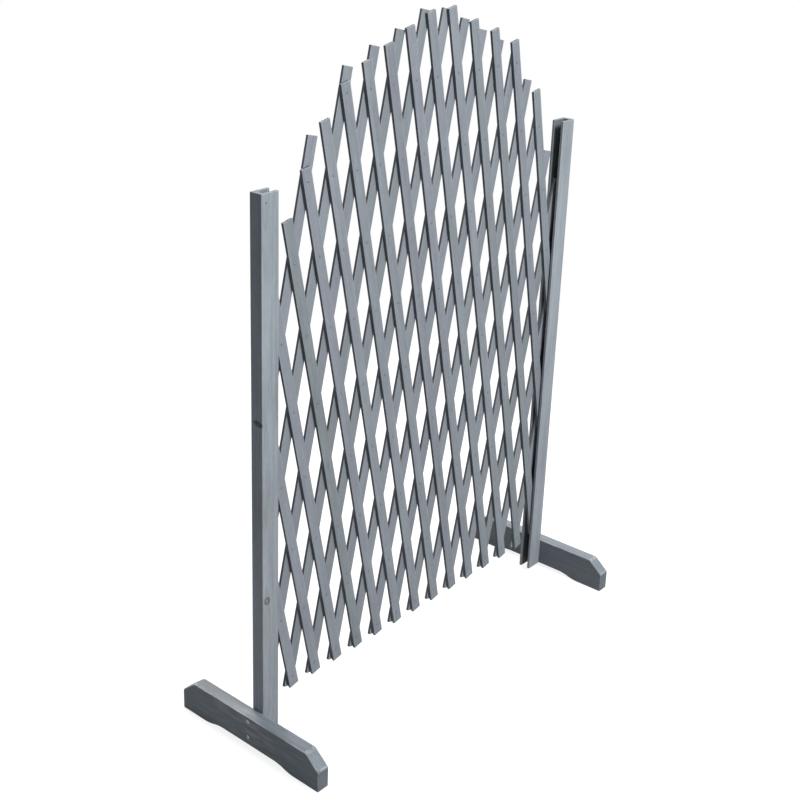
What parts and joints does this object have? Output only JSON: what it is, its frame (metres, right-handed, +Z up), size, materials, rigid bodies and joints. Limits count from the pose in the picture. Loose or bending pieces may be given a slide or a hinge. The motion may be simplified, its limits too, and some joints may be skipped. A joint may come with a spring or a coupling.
{
  "type": "expanding trellis panel",
  "caption": "Free-standing wooden trellis panel: a riveted scissor lattice with an arched top that spreads and folds between two grooved posts on feet.",
  "frame": {"origin": "on the ground under the middle of the panel", "axes": "+X to the right of the panel seen from the front, +Y to the back, +Z up"},
  "size_m": [1.063, 0.396, 1.4529],
  "materials": {
    "slat_wood": "blue-grey stain on planed softwood slats",
    "post_wood": "blue-grey stain on planed softwood",
    "foot_wood": "blue-grey stain on planed softwood",
    "steel": "small steel fasteners under the same stain"
  },
  "bodies": {
    "left_frame": {"left_post": "post_wood", "left_foot": "foot_wood", "left_foot_screws": "steel", "left_post_pin": "steel", "stop_nail": "steel"},
    "right_frame": {"right_post": "post_wood", "right_foot": "foot_wood", "right_foot_screws": "steel", "right_post_pin": "steel"},
    "front_01": {"front_slat_01": "slat_wood", "rivets_01": "steel"},
    "back_01": {"back_slat_01": "slat_wood"},
    "front_02": {"front_slat_02": "slat_wood", "rivets_02": "steel"},
    "back_02": {"back_slat_02": "slat_wood"},
    "front_03": {"front_slat_03": "slat_wood", "rivets_03": "steel"},
    "back_03": {"back_slat_03": "slat_wood"},
    "front_04": {"front_slat_04": "slat_wood", "rivets_04": "steel"},
    "back_04": {"back_slat_04": "slat_wood"},
    "front_05": {"front_slat_05": "slat_wood", "rivets_05": "steel"},
    "back_05": {"back_slat_05": "slat_wood"},
    "front_06": {"front_slat_06": "slat_wood", "rivets_06": "steel"},
    "back_06": {"back_slat_06": "slat_wood"},
    "front_07": {"front_slat_07": "slat_wood", "rivets_07": "steel"},
    "back_07": {"back_slat_07": "slat_wood"},
    "front_08": {"front_slat_08": "slat_wood", "rivets_08": "steel"},
    "back_08": {"back_slat_08": "slat_wood"},
    "front_09": {"front_slat_09": "slat_wood", "rivets_09": "steel"},
    "back_09": {"back_slat_09": "slat_wood"},
    "front_10": {"front_slat_10": "slat_wood", "rivets_10": "steel"},
    "back_10": {"back_slat_10": "slat_wood"},
    "front_11": {"front_slat_11": "slat_wood", "rivets_11": "steel"},
    "back_11": {"back_slat_11": "slat_wood"},
    "front_12": {"front_slat_12": "slat_wood", "rivets_12": "steel"},
    "back_12": {"back_slat_12": "slat_wood"},
    "front_13": {"front_slat_13": "slat_wood", "rivets_13": "steel"},
    "back_13": {"back_slat_13": "slat_wood"},
    "front_14": {"front_slat_14": "slat_wood", "rivets_14": "steel"},
    "back_14": {"back_slat_14": "slat_wood"},
    "front_15": {"front_slat_15": "slat_wood", "rivets_15": "steel"},
    "back_15": {"back_slat_15": "slat_wood"},
    "front_16": {"front_slat_16": "slat_wood", "rivets_16": "steel"},
    "back_16": {"back_slat_16": "slat_wood"}
  },
  "joints": [
    {"name": "spread", "type": "hinge", "parent": "left_frame", "child": "back_16", "pos_m": [-0.47399, 0, 0.71693], "axis": [0, 1, 0], "range_deg": [-7.7, 15.3]},
    {"name": "front_02_pivot", "type": "hinge", "parent": "left_frame", "child": "front_02", "pos_m": [-0.47399, 0, 0.71693], "axis": [0, 1, 0], "range_deg": [-15.4, 7.8]},
    {"name": "front_03_pivot", "type": "hinge", "parent": "back_16", "child": "front_03", "pos_m": [-0.44013, 0, 0.86716], "axis": [0, 1, 0], "range_deg": [-30.7, 15.5]},
    {"name": "front_04_pivot", "type": "hinge", "parent": "back_16", "child": "front_04", "pos_m": [-0.40628, 0, 1.01739], "axis": [0, 1, 0], "range_deg": [-30.7, 15.5]},
    {"name": "front_05_pivot", "type": "hinge", "parent": "back_16", "child": "front_05", "pos_m": [-0.37242, 0, 1.16763], "axis": [0, 1, 0], "range_deg": [-30.7, 15.5]},
    {"name": "back_15_pivot", "type": "hinge", "parent": "front_05", "child": "back_15", "pos_m": [-0.33856, 0, 1.01739], "axis": [0, 1, 0], "range_deg": [-15.5, 30.7]},
    {"name": "back_14_pivot", "type": "hinge", "parent": "front_05", "child": "back_14", "pos_m": [-0.30471, 0, 0.86716], "axis": [0, 1, 0], "range_deg": [-15.5, 30.7]},
    {"name": "back_13_pivot", "type": "hinge", "parent": "front_05", "child": "back_13", "pos_m": [-0.27085, 0, 0.71693], "axis": [0, 1, 0], "range_deg": [-15.5, 30.7]},
    {"name": "back_12_pivot", "type": "hinge", "parent": "front_05", "child": "back_12", "pos_m": [-0.23699, 0, 0.5667], "axis": [0, 1, 0], "range_deg": [-15.5, 30.7]},
    {"name": "back_11_pivot", "type": "hinge", "parent": "front_05", "child": "back_11", "pos_m": [-0.20314, 0, 0.41646], "axis": [0, 1, 0], "range_deg": [-15.5, 30.7]},
    {"name": "back_10_pivot", "type": "hinge", "parent": "front_05", "child": "back_10", "pos_m": [-0.16928, 0, 0.26623], "axis": [0, 1, 0], "range_deg": [-15.5, 30.7]},
    {"name": "back_09_pivot", "type": "hinge", "parent": "front_05", "child": "back_09", "pos_m": [-0.13542, 0, 0.116], "axis": [0, 1, 0], "range_deg": [-15.5, 30.7]},
    {"name": "front_01_pivot", "type": "hinge", "parent": "back_14", "child": "front_01", "pos_m": [-0.44013, 0, 0.26623], "axis": [0, 1, 0], "range_deg": [-30.7, 15.5]},
    {"name": "front_06_pivot", "type": "hinge", "parent": "back_09", "child": "front_06", "pos_m": [-0.10157, 0, 0.26623], "axis": [0, 1, 0], "range_deg": [-30.7, 15.5]},
    {"name": "front_07_pivot", "type": "hinge", "parent": "back_09", "child": "front_07", "pos_m": [-0.06771, 0, 0.41646], "axis": [0, 1, 0], "range_deg": [-30.7, 15.5]},
    {"name": "front_08_pivot", "type": "hinge", "parent": "back_09", "child": "front_08", "pos_m": [-0.03386, 0, 0.5667], "axis": [0, 1, 0], "range_deg": [-30.7, 15.5]},
    {"name": "front_09_pivot", "type": "hinge", "parent": "back_09", "child": "front_09", "pos_m": [0, 0, 0.71693], "axis": [0, 1, 0], "range_deg": [-30.7, 15.5]},
    {"name": "front_10_pivot", "type": "hinge", "parent": "back_09", "child": "front_10", "pos_m": [0.03386, 0, 0.86716], "axis": [0, 1, 0], "range_deg": [-30.7, 15.5]},
    {"name": "front_11_pivot", "type": "hinge", "parent": "back_09", "child": "front_11", "pos_m": [0.06771, 0, 1.01739], "axis": [0, 1, 0], "range_deg": [-30.7, 15.5]},
    {"name": "front_12_pivot", "type": "hinge", "parent": "back_09", "child": "front_12", "pos_m": [0.10157, 0, 1.16763], "axis": [0, 1, 0], "range_deg": [-30.7, 15.5]},
    {"name": "front_13_pivot", "type": "hinge", "parent": "back_09", "child": "front_13", "pos_m": [0.13542, 0, 1.31786], "axis": [0, 1, 0], "range_deg": [-30.7, 15.5]},
    {"name": "back_08_pivot", "type": "hinge", "parent": "front_13", "child": "back_08", "pos_m": [0.16928, 0, 1.16763], "axis": [0, 1, 0], "range_deg": [-15.5, 30.7]},
    {"name": "back_07_pivot", "type": "hinge", "parent": "front_13", "child": "back_07", "pos_m": [0.20314, 0, 1.01739], "axis": [0, 1, 0], "range_deg": [-15.5, 30.7]},
    {"name": "back_06_pivot", "type": "hinge", "parent": "front_13", "child": "back_06", "pos_m": [0.23699, 0, 0.86716], "axis": [0, 1, 0], "range_deg": [-15.5, 30.7]},
    {"name": "back_05_pivot", "type": "hinge", "parent": "front_13", "child": "back_05", "pos_m": [0.27085, 0, 0.71693], "axis": [0, 1, 0], "range_deg": [-15.5, 30.7]},
    {"name": "back_04_pivot", "type": "hinge", "parent": "front_13", "child": "back_04", "pos_m": [0.30471, 0, 0.5667], "axis": [0, 1, 0], "range_deg": [-15.5, 30.7]},
    {"name": "back_03_pivot", "type": "hinge", "parent": "front_13", "child": "back_03", "pos_m": [0.33856, 0, 0.41646], "axis": [0, 1, 0], "range_deg": [-15.5, 30.7]},
    {"name": "back_02_pivot", "type": "hinge", "parent": "front_13", "child": "back_02", "pos_m": [0.37242, 0, 0.26623], "axis": [0, 1, 0], "range_deg": [-15.5, 30.7]},
    {"name": "back_01_pivot", "type": "hinge", "parent": "front_13", "child": "back_01", "pos_m": [0.40628, 0, 0.116], "axis": [0, 1, 0], "range_deg": [-15.5, 30.7]},
    {"name": "front_14_pivot", "type": "hinge", "parent": "back_04", "child": "front_14", "pos_m": [0.33856, 0, 0.71693], "axis": [0, 1, 0], "range_deg": [-30.7, 15.5]},
    {"name": "front_15_pivot", "type": "hinge", "parent": "back_04", "child": "front_15", "pos_m": [0.37242, 0, 0.86716], "axis": [0, 1, 0], "range_deg": [-30.7, 15.5]},
    {"name": "front_16_pivot", "type": "hinge", "parent": "back_04", "child": "front_16", "pos_m": [0.40628, 0, 1.01739], "axis": [0, 1, 0], "range_deg": [-30.7, 15.5]},
    {"name": "right_frame_pivot", "type": "hinge", "parent": "front_16", "child": "right_frame", "pos_m": [0.47399, 0, 0.71693], "axis": [0, 1, 0], "range_deg": [-7.8, 15.4]}
  ],
  "couplings": [
    {"joint": "front_02_pivot", "follows": "spread", "ratio": -1},
    {"joint": "front_03_pivot", "follows": "spread", "ratio": -2},
    {"joint": "front_04_pivot", "follows": "spread", "ratio": -2},
    {"joint": "front_05_pivot", "follows": "spread", "ratio": -2},
    {"joint": "back_15_pivot", "follows": "spread", "ratio": 2},
    {"joint": "back_14_pivot", "follows": "spread", "ratio": 2},
    {"joint": "back_13_pivot", "follows": "spread", "ratio": 2},
    {"joint": "back_12_pivot", "follows": "spread", "ratio": 2},
    {"joint": "back_11_pivot", "follows": "spread", "ratio": 2},
    {"joint": "back_10_pivot", "follows": "spread", "ratio": 2},
    {"joint": "back_09_pivot", "follows": "spread", "ratio": 2},
    {"joint": "front_01_pivot", "follows": "spread", "ratio": -2},
    {"joint": "front_06_pivot", "follows": "spread", "ratio": -2},
    {"joint": "front_07_pivot", "follows": "spread", "ratio": -2},
    {"joint": "front_08_pivot", "follows": "spread", "ratio": -2},
    {"joint": "front_09_pivot", "follows": "spread", "ratio": -2},
    {"joint": "front_10_pivot", "follows": "spread", "ratio": -2},
    {"joint": "front_11_pivot", "follows": "spread", "ratio": -2},
    {"joint": "front_12_pivot", "follows": "spread", "ratio": -2},
    {"joint": "front_13_pivot", "follows": "spread", "ratio": -2},
    {"joint": "back_08_pivot", "follows": "spread", "ratio": 2},
    {"joint": "back_07_pivot", "follows": "spread", "ratio": 2},
    {"joint": "back_06_pivot", "follows": "spread", "ratio": 2},
    {"joint": "back_05_pivot", "follows": "spread", "ratio": 2},
    {"joint": "back_04_pivot", "follows": "spread", "ratio": 2},
    {"joint": "back_03_pivot", "follows": "spread", "ratio": 2},
    {"joint": "back_02_pivot", "follows": "spread", "ratio": 2},
    {"joint": "back_01_pivot", "follows": "spread", "ratio": 2},
    {"joint": "front_14_pivot", "follows": "spread", "ratio": -2},
    {"joint": "front_15_pivot", "follows": "spread", "ratio": -2},
    {"joint": "front_16_pivot", "follows": "spread", "ratio": -2},
    {"joint": "right_frame_pivot", "follows": "spread", "ratio": 1}
  ]
}
